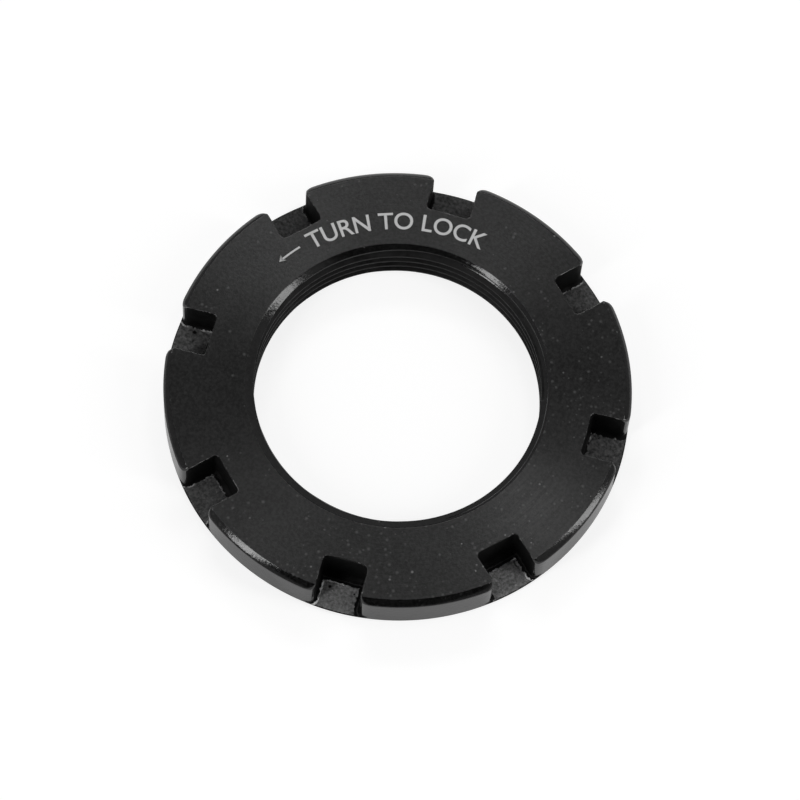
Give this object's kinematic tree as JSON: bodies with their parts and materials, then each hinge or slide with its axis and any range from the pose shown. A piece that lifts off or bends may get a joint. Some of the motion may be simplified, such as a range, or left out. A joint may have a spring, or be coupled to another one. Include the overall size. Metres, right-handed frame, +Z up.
{
  "type": "chainring lock ring",
  "caption": "Flat threaded steel ring with blind tool slots around its rim, which holds a chainring on its spider.",
  "frame": {"origin": "centre of the underside, on the bore's axis", "axes": "+Z up along the bore's axis, out of the marked face; +X through the middle of one tool slot"},
  "size_m": [0.0516, 0.0516, 0.0055],
  "materials": {
    "black_steel": "black oxide, satin, with fine turning marks",
    "marking": "pale laser marking on the face"
  },
  "bodies": {
    "root": {"lock_ring": "black_steel"}
  },
  "joints": []
}
